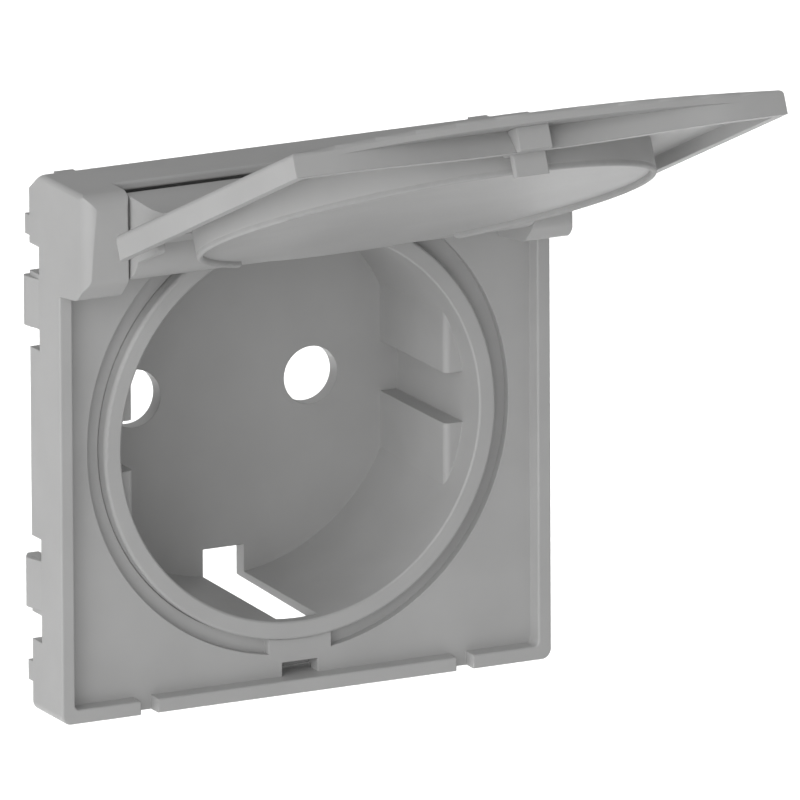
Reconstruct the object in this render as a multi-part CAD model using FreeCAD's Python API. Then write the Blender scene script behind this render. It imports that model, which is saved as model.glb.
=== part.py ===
import FreeCAD, Part
import os

from FreeCAD import Vector as V

# Cover insert of a side-earth wall socket, with a plug well and a hinged lid. Millimetres.
# X is to the right as seen from the front, +Y goes into the wall, +Z is up.
# Y = 0 is the plane of the skirt's rear edge, and X = Z = 0 is the axis of the plug well.

# ---- driving dimensions -------------------------------------------------------------------
PIN_PITCH = 19.0             # distance between the two plug pins, fixed by the socket standard
PIN_HOLE_R = 2.88

PLATE_WIDTH = 52.4
PLATE_TOP = 27.6
PLATE_BOTTOM = -26.0
CORNER_R = 1.0
TOP_CORNER_R = 0.5
POCKET_R = 0.5
SKIRT_DEPTH = 6.45           # from the skirt's rear edge to the front of the rim
RIM_WIDTH = 1.4
RIM_EDGE_R = 0.2
TOP_WALL = 2.8               # the top wall is thicker, because its rear edge is chamfered
TOP_CHAMFER_Y = 2.45
TOP_CHAMFER_Z = 1.8
FACE_RECESS = 1.73           # the face lies this far behind the rim's front
FACE_THICKNESS = 1.5

WELL_R = 19.15
FLOOR_R = 18.85              # the bore narrows to this at the floor
RING_R = 20.95               # outside of the well's tube, which stands out of the face as a ring
RING_RECESS = 1.2            # the ring's crest lies this far behind the rim's front
RING_EDGE_R = 0.35
RING_LEAD_IN = 0.15
TUBE_R = 19.95               # outside of the tube behind the flange
TUBE_END_R = 19.5
WELL_DEPTH = 18.3            # from the rim's front to the floor
FLOOR_THICKNESS = 1.64
GROOVE_R = 22.5
GROOVE_RISE = 0.55           # the groove is this much wider at the top than at the bottom
GROOVE_DEPTH = 0.87          # below the face
FLANGE_R = 24.2
FLANGE_THICKNESS = 1.2
TUBE_CLEARANCE = 0.05        # between the well's tube and the plate

PAD_X = 17.0                 # half the distance between the guide pads of the two sides
PAD_CHANNEL = 5.0            # height of the channel between an upper and a lower pad
PAD_Z = 10.0
PAD_START = {-1: 3.0, 1: 4.4}    # left and right pads, behind the rim's front
PAD_EDGE_R = 0.6

EARTH_HALF_WIDTH = 2.2
EARTH_Z = (16.0, 20.3)       # blind in the thick front of the tube, open behind the flange
EARTH_START = 2.4            # behind the rim's front

LATCH_HALF_WIDTH = 1.9
LATCH_HEIGHT = 1.35
BRIDGE_HALF_WIDTH = 3.35
DRAIN_X = 16.9
DRAIN_WIDTH = 1.9

CLAW_Z = 13.95               # claws and notches are set out from the plate's centre
CLAW_WIDTH = 4.9
CLAW_PROUD = 0.5
CLAW_REACH_INNER = 1.45      # the claw's rear edge slants from here, nearest the centre,
CLAW_REACH_OUTER = 0.6       # to here, nearest the corner
NOTCHES = ((9.35, 11.45), (16.9, 19.6))
NOTCH_DEPTH = 2.05
PIP_OFFSET = 22.1            # pips are set out from the well's axis
PIP_WIDTH = 2.0
PIP_REACH = 1.25
PIP_EDGE_R = 0.35
TOP_PIP_HEIGHT = 2.0

CHEEK_INNER_X = 21.5
CHEEK_BOTTOM = 16.3
CHEEK_REACH = 6.0            # in front of the rim
CHEEK_OUTER_R = 1.6
CHEEK_INNER_R = 0.6
CHEEK_SIDE_R = 1.5
HOOD_REACH = 2.0             # top wall in front of the rim, above the barrel
HOOD_THICKNESS = 0.9
HOOD_EDGE_R = 0.3

HINGE_Y = -9.95
HINGE_Z = 22.6
HINGE_GAP = 0.15
PIN_R = 0.9
PIN_CLEARANCE = 0.05
PIN_IN_CHEEK = 3.4
PIN_IN_BARREL = 3.2
PIN_END_PLAY = 0.3
BARREL_R = 4.1
OPEN_ANGLE = 114.0

LID_WIDTH = 51.7
LID_END = -27.5              # free edge of the shut lid
LID_SHOULDER = 16.0          # the full-width part of the shut lid ends below the cheeks
LID_WALL = 1.1
LID_GAP = 0.2                # between the rim's front and the shut lid's walls
LID_SIDE_HEIGHT = 2.4
LID_CROWN = 1.0
LID_EDGE_R = 0.5
LID_SHOULDER_R = 2.4
FINGER_HALF_WIDTH = 21.5
FINGER_DEPTH = 2.3           # recess in the free edge, at the edge of its wall
FINGER_DEPTH_AT_LIP = 3.6    # and under the lip, where a fingertip pulls
FAIRING_END = 9.0
RIB_START_Z = 14.9           # short ribs brace the two ends of the barrel
RIB_END_Z = 20.6
RIB_WIDTH = 0.8
RIB_TIP = 0.55               # in front of the rim's front when shut
RIB_END_R = 0.5

COLLAR_INNER_R = 21.6
COLLAR_OUTER_R = 22.2
COLLAR_RIM = 0.85            # behind the rim's front when shut
INNER_THICKNESS = 0.9        # of the inner plate, whose face is flush with the collar's rim
GASKET_HEIGHT = 0.55
GASKET_TOP_Z = 18.4          # the bead stops here, short of the hinge
CATCH_HALF_WIDTH = 1.7
CATCH_ROOT_Z = -26.0
CATCH_NOSE_Z = (-24.25, -23.45)
CATCH_TIP = 2.0              # behind the rim's front when shut

# ---- derived places -----------------------------------------------------------------------
HALF_W = PLATE_WIDTH / 2
RIM_Y = -SKIRT_DEPTH
FACE_Y = RIM_Y + FACE_RECESS
FACE_BACK_Y = FACE_Y + FACE_THICKNESS
RING_Y = RIM_Y + RING_RECESS
GROOVE_Y = FACE_Y + GROOVE_DEPTH
WEB_BACK_Y = GROOVE_Y + FLANGE_THICKNESS
FLANGE_BACK_Y = WEB_BACK_Y + FLANGE_THICKNESS
FLOOR_Y = RIM_Y + WELL_DEPTH
WELL_BACK_Y = FLOOR_Y + FLOOR_THICKNESS
PLATE_MID_Z = (PLATE_TOP + PLATE_BOTTOM) / 2
LATCH_Z = PLATE_BOTTOM + RIM_WIDTH
LID_HALF = LID_WIDTH / 2
LID_INNER_Y = RIM_Y - LID_GAP                 # edge of the shut lid's walls
LID_SIDE_Y = LID_INNER_Y - LID_SIDE_HEIGHT    # outer face at the sides
LID_MID_Y = LID_SIDE_Y - LID_CROWN            # outer face in the middle
BARREL_HALF = CHEEK_INNER_X - HINGE_GAP
FAR = 60.0                                    # longer than the part, for cutting tools


def box(x0, x1, y0, y1, z0, z1):
    """Box between two corners, given axis by axis."""
    return Part.makeBox(x1 - x0, y1 - y0, z1 - z0, V(x0, y0, z0))


def tube_y(radius, y0, y1, x=0.0, z=0.0):
    """Cylinder along Y."""
    return Part.makeCylinder(radius, y1 - y0, V(x, y0, z), V(0, 1, 0))


def cone_y(radius0, radius1, y0, y1):
    """Cone along Y around the well's axis."""
    return Part.makeCone(radius0, radius1, y1 - y0, V(0, y0, 0), V(0, 1, 0))


def rod_x(radius, x0, x1):
    """Cylinder along the hinge axis."""
    return Part.makeCylinder(radius, x1 - x0, V(x0, HINGE_Y, HINGE_Z), V(1, 0, 0))


def prism_x(points, x0, x1):
    """Prism along X over a closed outline of (y, z) points."""
    corners = [V(x0, y, z) for y, z in points]
    face = Part.Face(Part.makePolygon(corners + corners[:1]))
    return face.extrude(V(x1 - x0, 0, 0))


def prism_z(points, z0, z1):
    """Prism along Z over a closed outline of (x, y) points."""
    corners = [V(x, y, z0) for x, y in points]
    face = Part.Face(Part.makePolygon(corners + corners[:1]))
    return face.extrude(V(0, 0, z1 - z0))


def rounded_block(half_w, z0, z1, y0, y1, low_radius, top_radius):
    """Block with its four edges along Y rounded."""
    block = box(-half_w, half_w, y0, y1, z0, z1)
    for radius, z in ((low_radius, z0), (top_radius, z1)):
        block = block.makeFillet(radius, edges_where(block, lambda e: along(e, V(0, 1, 0))
                                                     and abs(e.CenterOfMass.z - z) < 0.01))
    return block


def along(edge, axis):
    """True for an edge that runs along an axis."""
    return abs(edge.tangentAt(edge.FirstParameter).dot(axis)) > 0.99


def mirror_x(shape):
    return shape.mirror(V(0, 0, 0), V(1, 0, 0))


def edges_where(shape, test):
    return [e for e in shape.Edges if test(e)]


def fuse_all(shapes):
    return shapes[0].multiFuse(shapes[1:]).removeSplitter()


# ---- cover plate --------------------------------------------------------------------------
def cheek():
    """Left hinge cheek: it carries a pin and stands in front of the rim."""
    front = RIM_Y - CHEEK_REACH
    outline = [
        (FACE_Y, CHEEK_BOTTOM),
        (RIM_Y - 3.9, CHEEK_BOTTOM + 0.7),
        (front + 0.3, CHEEK_BOTTOM + 2.6),
        (front, PLATE_TOP),
        (FACE_Y, PLATE_TOP),
    ]
    side = prism_x(outline, -HALF_W, -CHEEK_INNER_X)
    corners = edges_where(side, lambda e: along(e, V(1, 0, 0)) and e.CenterOfMass.y < RIM_Y - 1)
    side = side.makeFillet(CHEEK_SIDE_R, corners)
    plan = box(-HALF_W, -CHEEK_INNER_X, front, FACE_Y, 0, FAR)
    for radius, x in ((CHEEK_OUTER_R, -HALF_W), (CHEEK_INNER_R, -CHEEK_INNER_X)):
        plan = plan.makeFillet(radius, edges_where(
            plan, lambda e: along(e, V(0, 0, 1)) and abs(e.CenterOfMass.x - x) < 0.01
            and abs(e.CenterOfMass.y - front) < 0.01))
    shape = side.common(plan)
    return shape.common(rounded_block(HALF_W, 0, PLATE_TOP, front, FACE_Y, 0.1, TOP_CORNER_R))


def claw(sign, half_sign):
    """Snap claw on a side wall: a wedge that stands out of the wall and past the rear edge."""
    side_x = sign * HALF_W
    inner_x = side_x - sign * RIM_WIDTH
    mid = PLATE_MID_Z + half_sign * CLAW_Z
    near = mid - half_sign * CLAW_WIDTH / 2
    far = mid + half_sign * CLAW_WIDTH / 2
    plan = [
        (inner_x, -NOTCH_DEPTH),
        (side_x, -NOTCH_DEPTH),
        (side_x + sign * CLAW_PROUD, -0.2),
        (side_x + sign * CLAW_PROUD, 0.3),
        (side_x - sign * 0.2, CLAW_REACH_INNER),
        (inner_x, CLAW_REACH_INNER),
    ]
    slant = [
        (-NOTCH_DEPTH - 1, near),
        (CLAW_REACH_INNER, near),
        (CLAW_REACH_OUTER, far),
        (-NOTCH_DEPTH - 1, far),
    ]
    return prism_z(plan, min(near, far), max(near, far)).common(prism_x(slant, -FAR, FAR))


def pips():
    """Small blocks on the rear edge near the corners, which seat on the socket's frame."""
    half = PIP_WIDTH / 2
    top_z = PLATE_TOP - TOP_WALL
    blocks = []
    for a in (-PIP_OFFSET, PIP_OFFSET):
        for sign in (-1, 1):
            x0, x1 = sorted((sign * HALF_W, sign * (HALF_W - RIM_WIDTH)))
            blocks.append(box(x0, x1, -0.5, PIP_REACH, a - half, a + half))
        blocks.append(box(a - half, a + half, -0.5, PIP_REACH, PLATE_BOTTOM, LATCH_Z))
        blocks.append(box(a - half, a + half, -1.0, PIP_REACH, top_z, top_z + TOP_PIP_HEIGHT))
    return [b.makeFillet(PIP_EDGE_R, edges_where(b, lambda e: e.CenterOfMass.y > PIP_REACH - 0.01))
            for b in blocks]


def make_cover_plate():
    outer = rounded_block(HALF_W, PLATE_BOTTOM, PLATE_TOP, RIM_Y, 0, CORNER_R, TOP_CORNER_R)
    front_pocket = rounded_block(
        HALF_W - RIM_WIDTH, LATCH_Z, PLATE_TOP - HOOD_THICKNESS, RIM_Y - 1, FACE_Y,
        POCKET_R, POCKET_R)
    rear_pocket = rounded_block(
        HALF_W - RIM_WIDTH, LATCH_Z, PLATE_TOP - TOP_WALL, FACE_BACK_Y, 1,
        POCKET_R, POCKET_R)
    walls = outer.cut(front_pocket)
    walls = walls.makeFillet(RIM_EDGE_R, edges_where(
        walls, lambda e: abs(e.CenterOfMass.y - RIM_Y) < 0.01))
    hood = box(-CHEEK_INNER_X - 1, CHEEK_INNER_X + 1, RIM_Y - HOOD_REACH, RIM_Y + 1,
               PLATE_TOP - HOOD_THICKNESS, PLATE_TOP)
    hood = hood.makeFillet(HOOD_EDGE_R, edges_where(
        hood, lambda e: along(e, V(1, 0, 0)) and e.CenterOfMass.y < RIM_Y))
    web = tube_y(FLANGE_R, FACE_BACK_Y - 0.1, WEB_BACK_Y)
    left = cheek()
    plate = fuse_all([walls.cut(rear_pocket), hood, web, left, mirror_x(left)])
    # annular groove around the well, bridged below the well, and the hole for the well's tube
    bridge = box(-BRIDGE_HALF_WIDTH, BRIDGE_HALF_WIDTH, FACE_Y, 0, -GROOVE_R - 1, 0)
    groove = fuse_all([tube_y(GROOVE_R, RIM_Y - 1, GROOVE_Y),
                       tube_y(GROOVE_R, RIM_Y - 1, GROOVE_Y, 0, GROOVE_RISE)])
    plate = plate.cut(groove.cut(bridge))
    plate = plate.cut(tube_y(RING_R + TUBE_CLEARANCE, RIM_Y - 1, 1))
    # latch slot above the bottom rim, and two drain channels through that rim
    plate = plate.cut(box(-LATCH_HALF_WIDTH, LATCH_HALF_WIDTH, FACE_Y - 1, 1,
                          LATCH_Z, LATCH_Z + LATCH_HEIGHT))
    for x in (-DRAIN_X, DRAIN_X):
        plate = plate.cut(box(x - DRAIN_WIDTH / 2, x + DRAIN_WIDTH / 2, RIM_Y - 1, FACE_Y,
                              PLATE_BOTTOM - 1, LATCH_Z + 0.1))
    # chamfer along the rear edge of the top wall
    edge_z = PLATE_TOP - TOP_CHAMFER_Z
    plate = plate.cut(prism_x([(-TOP_CHAMFER_Y, PLATE_TOP), (0, edge_z), (1, edge_z),
                               (1, PLATE_TOP + 1), (-TOP_CHAMFER_Y, PLATE_TOP + 1)], -FAR, FAR))
    # notches that free the claws in the two side walls
    for low, high in NOTCHES:
        for half_sign in (-1, 1):
            z0, z1 = sorted((PLATE_MID_Z + half_sign * low, PLATE_MID_Z + half_sign * high))
            plate = plate.cut(box(-FAR, FAR, -NOTCH_DEPTH, 1, z0, z1))
    claws = [claw(sign, half_sign) for sign in (-1, 1) for half_sign in (-1, 1)]
    plate = fuse_all([plate] + claws + pips())
    # blind holes for the hinge pins
    for sign in (-1, 1):
        x0, x1 = sorted((sign * (CHEEK_INNER_X - 1), sign * (CHEEK_INNER_X + PIN_IN_CHEEK)))
        plate = plate.cut(rod_x(PIN_R, x0, x1))
    return plate


# ---- plug well ----------------------------------------------------------------------------
def well_outside():
    front = tube_y(RING_R, RING_Y, FLANGE_BACK_Y)
    crest = edges_where(front, lambda e: abs(e.CenterOfMass.y - RING_Y) < 0.01)
    front = front.makeFillet(RING_EDGE_R, crest)
    flange = tube_y(FLANGE_R, WEB_BACK_Y, FLANGE_BACK_Y)
    rear = cone_y(TUBE_R, TUBE_END_R, FLANGE_BACK_Y - 0.1, WELL_BACK_Y)
    return fuse_all([front, flange, rear])


def well_bore():
    """The space a plug enters: a slightly narrowing bore with guide pads at both sides."""
    lead_in = cone_y(WELL_R + RING_LEAD_IN, WELL_R, RING_Y, RING_Y + RING_LEAD_IN)
    space = fuse_all([cone_y(WELL_R, FLOOR_R, RING_Y, FLOOR_Y), lead_in])
    for sx in (-1, 1):
        for sz in (-1, 1):
            x0, x1 = sorted((sx * PAD_X, sx * RING_R))
            z0, z1 = sorted((sz * PAD_CHANNEL / 2, sz * PAD_Z))
            start = RIM_Y + PAD_START[sx]
            pad = box(x0, x1, start, FLOOR_Y + 1, z0, z1)
            pad = pad.makeFillet(PAD_EDGE_R, edges_where(
                pad, lambda e: along(e, V(0, 0, 1)) and abs(e.CenterOfMass.x) < PAD_X + 0.1
                and e.CenterOfMass.y < start + 0.1))
            space = space.cut(pad)
    return space


def make_socket_well():
    well = well_outside().cut(well_bore())
    for sign in (-1, 1):
        well = well.cut(tube_y(PIN_HOLE_R, FLOOR_Y - 1, WELL_BACK_Y + 1, sign * PIN_PITCH / 2))
        # slot for an earth clip, through the floor and the tube's wall
        z0, z1 = sorted(sign * z for z in EARTH_Z)
        well = well.cut(box(-EARTH_HALF_WIDTH, EARTH_HALF_WIDTH, RIM_Y + EARTH_START,
                            WELL_BACK_Y + 1, z0, z1))
    return well


# ---- hinge pins ---------------------------------------------------------------------------
def make_hinge_pin(sign):
    x0, x1 = sorted((sign * (CHEEK_INNER_X + PIN_IN_CHEEK), sign * (BARREL_HALF - PIN_IN_BARREL)))
    return rod_x(PIN_R, x0, x1)


# ---- lid, drawn shut and swung open at the end ----------------------------------------------
def crowned_slab(half_w, side_y, mid_y, back_y, z0, z1):
    """Slab whose front face is an arc across X and whose back is flat."""
    left, middle, right = V(-half_w, side_y, z0), V(0, mid_y, z0), V(half_w, side_y, z0)
    arc = Part.Arc(left, middle, right).toShape()
    rest = Part.makePolygon([right, V(half_w, back_y, z0), V(-half_w, back_y, z0), left])
    return Part.Face(Part.Wire([arc] + rest.Edges)).extrude(V(0, 0, z1 - z0))


def scoop_outline(y, depth, end_z):
    """Bell-shaped outline of the finger recess at one level, closed below the free edge."""
    half = FINGER_HALF_WIDTH
    bell = Part.BezierCurve()
    high = end_z + 1.6 * depth    # pulls the middle of the curve up to the recess's depth
    bell.setPoles([V(-half, y, end_z), V(-half * 0.55, y, end_z), V(-half * 0.42, y, high),
                   V(half * 0.42, y, high), V(half * 0.55, y, end_z), V(half, y, end_z)])
    low = LID_END - 5
    rest = Part.makePolygon([V(half, y, end_z), V(half, y, low), V(-half, y, low),
                             V(-half, y, end_z)])
    return Part.Wire([bell.toShape()] + rest.Edges)


def finger_scoop(shift):
    """Recess in the free edge, deeper under the lip; shift moves it to the wall's inner side."""
    slope = (FINGER_DEPTH_AT_LIP - FINGER_DEPTH) / LID_SIDE_HEIGHT
    over = 4.0
    lip_y = LID_INNER_Y - LID_SIDE_HEIGHT - over
    back_y = LID_INNER_Y + over
    return Part.makeLoft([
        scoop_outline(lip_y, FINGER_DEPTH_AT_LIP + slope * over, LID_END + shift),
        scoop_outline(back_y, FINGER_DEPTH - slope * over, LID_END + shift),
    ], True, True)


def lid_cavity(back_y):
    """Space under the lid, inside its walls, down to the plane back_y."""
    space = crowned_slab(LID_HALF - LID_WALL, LID_SIDE_Y + LID_WALL, LID_MID_Y + LID_WALL,
                         back_y, LID_END + LID_WALL, LID_SHOULDER + 6)
    return space.cut(finger_scoop(LID_WALL))


def fairing():
    """Smooth rise from the lid's face to the hinge barrel."""
    start = V(0, HINGE_Y - BARREL_R, HINGE_Z)
    end = V(0, LID_MID_Y + 0.02, FAIRING_END)
    curve = Part.BezierCurve()
    curve.setPoles([start, V(0, start.y, start.z - 5.0), V(0, end.y, end.z + 6.5), end])
    inner_y = LID_MID_Y + LID_WALL + 0.15
    rest = Part.makePolygon([end, V(0, inner_y, end.z), V(0, inner_y, HINGE_Z), start])
    face = Part.Face(Part.Wire([curve.toShape()] + rest.Edges))
    solid = face.extrude(V(2 * BARREL_HALF, 0, 0))
    solid.translate(V(-BARREL_HALF, 0, 0))
    return solid


def catch_root():
    """Block that joins the free edge's wall to the collar."""
    block = box(-CATCH_HALF_WIDTH, CATCH_HALF_WIDTH, LID_MID_Y + LID_WALL, LID_INNER_Y,
                CATCH_ROOT_Z, 0)
    return block.cut(tube_y(COLLAR_OUTER_R, LID_MID_Y, RIM_Y + 1))


def make_lid_shell():
    shell = crowned_slab(LID_HALF, LID_SIDE_Y, LID_MID_Y, LID_INNER_Y, LID_END, LID_SHOULDER)
    shoulders = edges_where(shell, lambda e: along(e, V(0, 1, 0))
                            and e.CenterOfMass.z > LID_SHOULDER - 0.1)
    shell = shell.makeFillet(LID_SHOULDER_R, shoulders)
    rounded = edges_where(shell, lambda e: e.CenterOfMass.y < LID_SIDE_Y + 0.01
                          and e.CenterOfMass.z < LID_SHOULDER - LID_SHOULDER_R - 0.1)
    shell = shell.makeFillet(LID_EDGE_R, rounded)
    shell = shell.cut(lid_cavity(RIM_Y + 5))
    below_lip = crowned_slab(LID_HALF + 1, LID_SIDE_Y + LID_WALL, LID_MID_Y + LID_WALL,
                             RIM_Y + 5, LID_END - 1, 0)
    shell = shell.cut(finger_scoop(0).common(below_lip))
    barrel = rod_x(BARREL_R, -BARREL_HALF, BARREL_HALF)
    neck = box(-BARREL_HALF, BARREL_HALF, LID_MID_Y + LID_WALL - 0.5, LID_MID_Y + LID_WALL + 0.6,
               LID_SHOULDER - 2, HINGE_Z)
    ribs = []
    for sign in (-1, 1):
        x0, x1 = sorted((sign * (BARREL_HALF - RIB_WIDTH), sign * BARREL_HALF))
        rib = box(x0, x1, LID_MID_Y + LID_WALL, RIM_Y - RIB_TIP, RIB_START_Z, RIB_END_Z)
        tip = edges_where(rib, lambda e: along(e, V(1, 0, 0)) and e.CenterOfMass.y > RIM_Y - 1
                          and e.CenterOfMass.z < RIB_START_Z + 0.1)
        ribs.append(rib.makeFillet(RIB_END_R, tip))
    shell = fuse_all([shell, barrel, fairing(), neck] + ribs)
    for sign in (-1, 1):
        reach = BARREL_HALF - PIN_IN_BARREL - PIN_END_PLAY
        x0, x1 = sorted((sign * (BARREL_HALF + 1), sign * reach))
        shell = shell.cut(rod_x(PIN_R + PIN_CLEARANCE, x0, x1))
    return shell.cut(catch_root())


def collar_ring(y0, y1):
    return tube_y(COLLAR_OUTER_R, y0, y1).cut(tube_y(COLLAR_INNER_R, y0 - 1, y1 + 1))


def make_lid_collar(shell):
    """Inner plate of the lid: a round boss whose rim runs in the groove around the well."""
    face = RIM_Y + COLLAR_RIM
    ring = collar_ring(LID_MID_Y, face).common(lid_cavity(RIM_Y + 5))
    cup = fuse_all([ring, tube_y(COLLAR_OUTER_R - 0.1, face - INNER_THICKNESS, face)])
    return cup.cut(shell).cut(box(-FAR, FAR, -FAR, FAR, HINGE_Z, FAR))


def make_lid_gasket():
    """Sealing bead with a round tip along the collar's rim."""
    base = RIM_Y + COLLAR_RIM
    half = (COLLAR_OUTER_R - COLLAR_INNER_R) / 2
    shoulder = base + GASKET_HEIGHT - half
    tip = Part.Arc(V(COLLAR_INNER_R, shoulder, 0), V(COLLAR_INNER_R + half, shoulder + half, 0),
                   V(COLLAR_OUTER_R, shoulder, 0)).toShape()
    sides = Part.makePolygon([V(COLLAR_OUTER_R, shoulder, 0), V(COLLAR_OUTER_R, base, 0),
                              V(COLLAR_INNER_R, base, 0), V(COLLAR_INNER_R, shoulder, 0)])
    profile = Part.Face(Part.Wire([tip] + sides.Edges))
    bead = profile.revolve(V(0, 0, 0), V(0, 1, 0), 360)
    return bead.cut(box(-FAR, FAR, -FAR, FAR, GASKET_TOP_Z, FAR))


def make_lid_catch():
    nose = box(-CATCH_HALF_WIDTH, CATCH_HALF_WIDTH, LID_INNER_Y - 0.5,
               RIM_Y + CATCH_TIP, CATCH_NOSE_Z[0], CATCH_NOSE_Z[1])
    catch = fuse_all([catch_root(), nose])
    lid_roof = crowned_slab(LID_HALF - LID_WALL, LID_SIDE_Y + LID_WALL, LID_MID_Y + LID_WALL,
                            RIM_Y + 5, LID_END, 0)
    return catch.common(lid_roof)


def swing_open(shape):
    """Turn a shape of the shut lid to the open rest position."""
    turned = shape.copy()
    turned.rotate(V(0, HINGE_Y, HINGE_Z), V(-1, 0, 0), OPEN_ANGLE)
    return turned


# ---- write the parts ------------------------------------------------------------------------
def main():
    shell = make_lid_shell()
    parts = {
        "cover_plate": make_cover_plate(),
        "socket_well": make_socket_well(),
        "hinge_pin_left": make_hinge_pin(-1),
        "hinge_pin_right": make_hinge_pin(1),
        "lid_shell": swing_open(shell),
        "lid_collar": swing_open(make_lid_collar(shell)),
        "lid_gasket": swing_open(make_lid_gasket()),
        "lid_catch": swing_open(make_lid_catch()),
    }
    os.makedirs("parts", exist_ok=True)
    for name, shape in parts.items():
        print(name, "solids", len(shape.Solids), "valid", shape.isValid(), "mm3", round(shape.Volume, 1))
        shape.exportStep("parts/" + name + ".step")


main()
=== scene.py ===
import math

import bpy
from mathutils import Matrix, Vector


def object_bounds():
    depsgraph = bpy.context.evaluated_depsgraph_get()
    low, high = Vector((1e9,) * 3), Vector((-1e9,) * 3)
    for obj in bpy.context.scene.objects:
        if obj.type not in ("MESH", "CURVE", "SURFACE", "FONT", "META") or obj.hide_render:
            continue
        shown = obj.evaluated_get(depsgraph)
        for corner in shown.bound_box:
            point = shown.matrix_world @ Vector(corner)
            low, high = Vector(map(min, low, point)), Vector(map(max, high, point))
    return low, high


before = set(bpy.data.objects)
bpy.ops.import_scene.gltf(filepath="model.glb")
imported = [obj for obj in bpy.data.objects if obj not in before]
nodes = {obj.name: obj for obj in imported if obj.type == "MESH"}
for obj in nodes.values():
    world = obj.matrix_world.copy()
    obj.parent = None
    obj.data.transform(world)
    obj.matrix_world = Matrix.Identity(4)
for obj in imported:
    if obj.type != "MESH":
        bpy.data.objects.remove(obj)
cad_lo, cad_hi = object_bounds()
MM = 0.001
WHITE = (1, 1, 1, 1)

# ---- node helpers ---------------------------------------------------------------------------
RAMP_ENDS = (0.3, 0.7)


def new_material(name):
    mat = bpy.data.materials.new(name)
    mat.use_nodes = True
    tree = mat.node_tree
    return mat, tree, tree.nodes["Principled BSDF"]


def add(tree, kind, **values):
    """A node with its properties set by attribute and its inputs set by name."""
    node = tree.nodes.new(kind)
    for key, value in values.items():
        if hasattr(node, key):
            setattr(node, key, value)
        else:
            node.inputs[key].default_value = value
    return node


def object_coords(tree):
    return add(tree, "ShaderNodeTexCoord").outputs["Object"]


def noise(tree, coords, per_mm, detail, roughness):
    """Noise over the object's coordinates, with its scale given per millimetre."""
    node = add(tree, "ShaderNodeTexNoise", Scale=per_mm / MM, Detail=detail, Roughness=roughness)
    tree.links.new(coords, node.inputs["Vector"])
    return node.outputs["Fac"]


def ramp(tree, value, socket, dark, light, ends=RAMP_ENDS):
    """Drive a socket from a value, blended between two greys or two colours."""
    node = add(tree, "ShaderNodeValToRGB")
    for element, position, tone in zip(node.color_ramp.elements, ends, (dark, light)):
        element.position = position
        element.color = (*tone, 1.0) if isinstance(tone, tuple) else (tone, tone, tone, 1.0)
    tree.links.new(value, node.inputs["Fac"])
    tree.links.new(node.outputs["Color"], socket)


def bump(tree, bsdf, height, strength, depth, normal=None):
    """Bump the shader by a height, on top of a given normal where there is one."""
    node = add(tree, "ShaderNodeBump", Strength=strength, Distance=depth)
    tree.links.new(height, node.inputs["Height"])
    if normal is not None:
        tree.links.new(normal, node.inputs["Normal"])
    tree.links.new(node.outputs["Normal"], bsdf.inputs["Normal"])


# ---- materials ------------------------------------------------------------------------------
PLASTIC_TONE = 0.48
PLASTIC_TINT = (1.0, 1.0, 0.995)
PLASTIC_CLOUD = (0.965, 1.035)       # shares of the tone in its darker and lighter clouds
PLASTIC_CLOUD_ENDS = (0.35, 0.65)
PLASTIC_ROUGHNESS = (0.44, 0.52)
PLASTIC_GRAIN_DEPTH = 0.012 * MM
EDGE_ROUNDING = 0.16 * MM
EDGE_SAMPLES = 6

STEEL_TONES = ((0.50, 0.50, 0.49), (0.62, 0.62, 0.61))
STEEL_ROUGHNESS = (0.26, 0.40)
STEEL_STRETCH = (0.05, 1.0, 1.0)     # the drawing lines run along the pin, which lies along X
STEEL_LINE_DEPTH = 0.01 * MM

SEAL_TONES = ((0.42, 0.42, 0.418), (0.46, 0.46, 0.458))
SEAL_ROUGHNESS = (0.62, 0.74)
SEAL_CLOUD_DEPTH = 0.02 * MM


def moulded_plastic(name):
    """Satin moulded plastic: faint cloudy tone, fine eroded grain, softened edges."""
    mat, tree, bsdf = new_material(name)
    coords = object_coords(tree)
    cloud = noise(tree, coords, per_mm=0.09, detail=3.0, roughness=0.55)
    dark, light = (tuple(PLASTIC_TONE * share * t for t in PLASTIC_TINT) for share in PLASTIC_CLOUD)
    ramp(tree, cloud, bsdf.inputs["Base Color"], dark, light, PLASTIC_CLOUD_ENDS)
    grain = noise(tree, coords, per_mm=7.0, detail=2.0, roughness=0.6)
    ramp(tree, grain, bsdf.inputs["Roughness"], *PLASTIC_ROUGHNESS)
    bevel = add(tree, "ShaderNodeBevel", samples=EDGE_SAMPLES, Radius=EDGE_ROUNDING)
    bump(tree, bsdf, grain, strength=0.35, depth=PLASTIC_GRAIN_DEPTH, normal=bevel.outputs["Normal"])
    return mat


def drawn_steel(name):
    """Bright steel with fine drawing lines along the pin."""
    mat, tree, bsdf = new_material(name)
    stretch = add(tree, "ShaderNodeMapping", Scale=STEEL_STRETCH)
    tree.links.new(object_coords(tree), stretch.inputs["Vector"])
    lines = noise(tree, stretch.outputs["Vector"], per_mm=12.0, detail=3.0, roughness=0.6)
    ramp(tree, lines, bsdf.inputs["Base Color"], *STEEL_TONES)
    ramp(tree, lines, bsdf.inputs["Roughness"], *STEEL_ROUGHNESS)
    bump(tree, bsdf, lines, strength=0.3, depth=STEEL_LINE_DEPTH)
    bsdf.inputs["Metallic"].default_value = 1.0
    return mat


def soft_seal(name):
    """Matt seal with a faint, soft unevenness."""
    mat, tree, bsdf = new_material(name)
    cloud = noise(tree, object_coords(tree), per_mm=0.6, detail=3.0, roughness=0.6)
    ramp(tree, cloud, bsdf.inputs["Base Color"], *SEAL_TONES)
    ramp(tree, cloud, bsdf.inputs["Roughness"], *SEAL_ROUGHNESS)
    bump(tree, bsdf, cloud, strength=0.3, depth=SEAL_CLOUD_DEPTH)
    return mat


def paint(name, material):
    node = nodes[name]
    node.data.materials.clear()
    node.data.materials.append(material)


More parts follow.
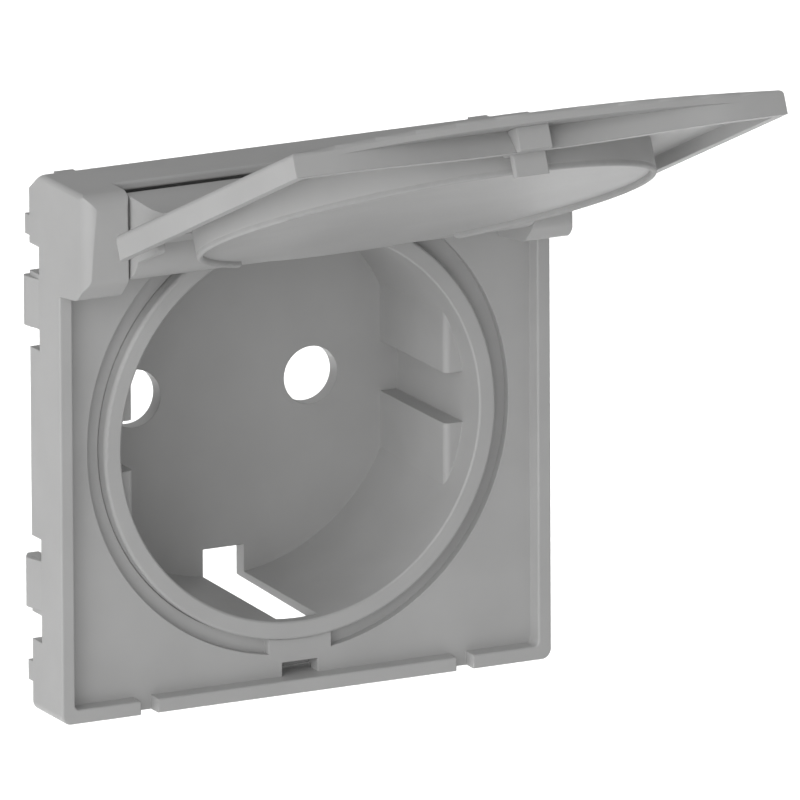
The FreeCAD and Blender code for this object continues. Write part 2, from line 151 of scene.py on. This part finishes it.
cover_plastic = moulded_plastic("cover_plastic")
lid_plastic = moulded_plastic("lid_plastic")
for name in ("cover_plate", "socket_well"):
    paint(name, cover_plastic)
for name in ("lid_shell", "lid_collar", "lid_catch"):
    paint(name, lid_plastic)
paint("lid_gasket", soft_seal("seal_rubber"))
for name in ("hinge_pin_left", "hinge_pin_right"):
    paint(name, drawn_steel(name + "_steel"))

# ---- floor and light ------------------------------------------------------------------------
size = (cad_hi - cad_lo).length      # the part's diagonal: floor and lamps are set out in it
centre = (cad_lo + cad_hi) / 2

FLOOR_Z = cad_lo.z - 0.9 * size
FLOOR_RADIUS = 14 * size
FLOOR_SIDES = 96
FLOOR_COLOUR = (0.9, 0.9, 0.9, 1)
FLOOR_ROUGHNESS = 0.9
FLOOR_GLOW = 0.06
BACKDROP_CENTRE = Vector((centre.x + 1.9 * size, centre.y + 3.8 * size, FLOOR_Z))
WORLD_STRENGTH = 0.36


def make_floor():
    """A flat, nearly round floor below the part."""
    mesh = bpy.data.meshes.new("floor")
    ring = []
    for i in range(FLOOR_SIDES):
        angle = 2 * math.pi * i / FLOOR_SIDES
        x = centre.x + FLOOR_RADIUS * math.cos(angle)
        y = centre.y + FLOOR_RADIUS * math.sin(angle)
        ring.append((x, y, FLOOR_Z))
    mesh.from_pydata(ring, [], [list(range(FLOOR_SIDES))])
    floor = bpy.data.objects.new("floor", mesh)
    bpy.context.scene.collection.objects.link(floor)
    mat, _, bsdf = new_material("pale_floor")
    bsdf.inputs["Base Color"].default_value = FLOOR_COLOUR
    bsdf.inputs["Roughness"].default_value = FLOOR_ROUGHNESS
    bsdf.inputs["Emission Color"].default_value = WHITE
    bsdf.inputs["Emission Strength"].default_value = FLOOR_GLOW
    mesh.materials.append(mat)


def area_light(name, azimuth, elevation, distance, side, power, target=centre, spread=180):
    """Square soft box aimed at a target. Azimuth 0 stands in front of it, 90 to its right."""
    a, e = math.radians(azimuth), math.radians(elevation)
    out = Vector((math.sin(a) * math.cos(e), -math.cos(a) * math.cos(e), math.sin(e)))
    data = bpy.data.lights.new(name, "AREA")
    data.shape = "SQUARE"
    data.size = side * size
    data.energy = power * size * size
    data.spread = math.radians(spread)
    light = bpy.data.objects.new(name, data)
    light.location = target + out * distance * size
    light.rotation_mode = "QUATERNION"
    light.rotation_quaternion = (-out).to_track_quat("-Z", "Y")
    bpy.context.scene.collection.objects.link(light)


def make_world():
    """Even white light from all round."""
    world = bpy.data.worlds.new("studio")
    bpy.context.scene.world = world
    world.use_nodes = True
    background = world.node_tree.nodes["Background"]
    background.inputs["Color"].default_value = WHITE
    background.inputs["Strength"].default_value = WORLD_STRENGTH


make_floor()
area_light("key_left", azimuth=-72, elevation=8, distance=5.0, side=4.0, power=76)
area_light("key_front", azimuth=-45, elevation=12, distance=5.0, side=4.0, power=46)
area_light("key_high", azimuth=-38, elevation=24, distance=5.0, side=3.0, power=28)
# the floor behind the part is lit on its own, so that it reads as plain white
area_light("backdrop", azimuth=0, elevation=90, distance=1.9, side=6.5, power=150,
           target=BACKDROP_CENTRE, spread=70)
make_world()
bpy.context.scene.view_settings.view_transform = "Standard"

# ---- camera ---------------------------------------------------------------------------------
# A long lens, left of the part and a little above it.
CAMERA_AZIMUTH = math.radians(26.455)
CAMERA_ELEVATION = math.radians(15.156)
CAMERA_ROLL = math.radians(-0.282)
SENSOR_MM = 36.0
LENS_MM = 1349.55
DISTANCE = 2.8726
CLIP = (0.1, 20.0)
RIM_CENTRE = Vector((0, -6.45 * MM, 0))      # in the plane of the rim's front, on the well's axis
RIM_RIGHT = -8.944 * MM                      # where it lies in the view, right of the middle
RIM_UP = -2.969 * MM                         # and above the middle


def make_camera():
    a, e, roll = CAMERA_AZIMUTH, CAMERA_ELEVATION, CAMERA_ROLL
    forward = Vector((math.sin(a) * math.cos(e), math.cos(a) * math.cos(e), -math.sin(e)))
    level = Vector((math.cos(a), -math.sin(a), 0))
    upright = level.cross(forward)
    right = level * math.cos(roll) + upright * math.sin(roll)
    up = upright * math.cos(roll) - level * math.sin(roll)
    data = bpy.data.cameras.new("camera")
    data.sensor_width = SENSOR_MM
    data.lens = LENS_MM
    data.clip_start, data.clip_end = CLIP
    camera = bpy.data.objects.new("camera", data)
    place = RIM_CENTRE - forward * DISTANCE - right * RIM_RIGHT - up * RIM_UP
    turn = Matrix((right, up, -forward)).transposed().to_4x4()
    camera.matrix_world = Matrix.Translation(place) @ turn
    bpy.context.scene.collection.objects.link(camera)
    bpy.context.scene.camera = camera


make_camera()
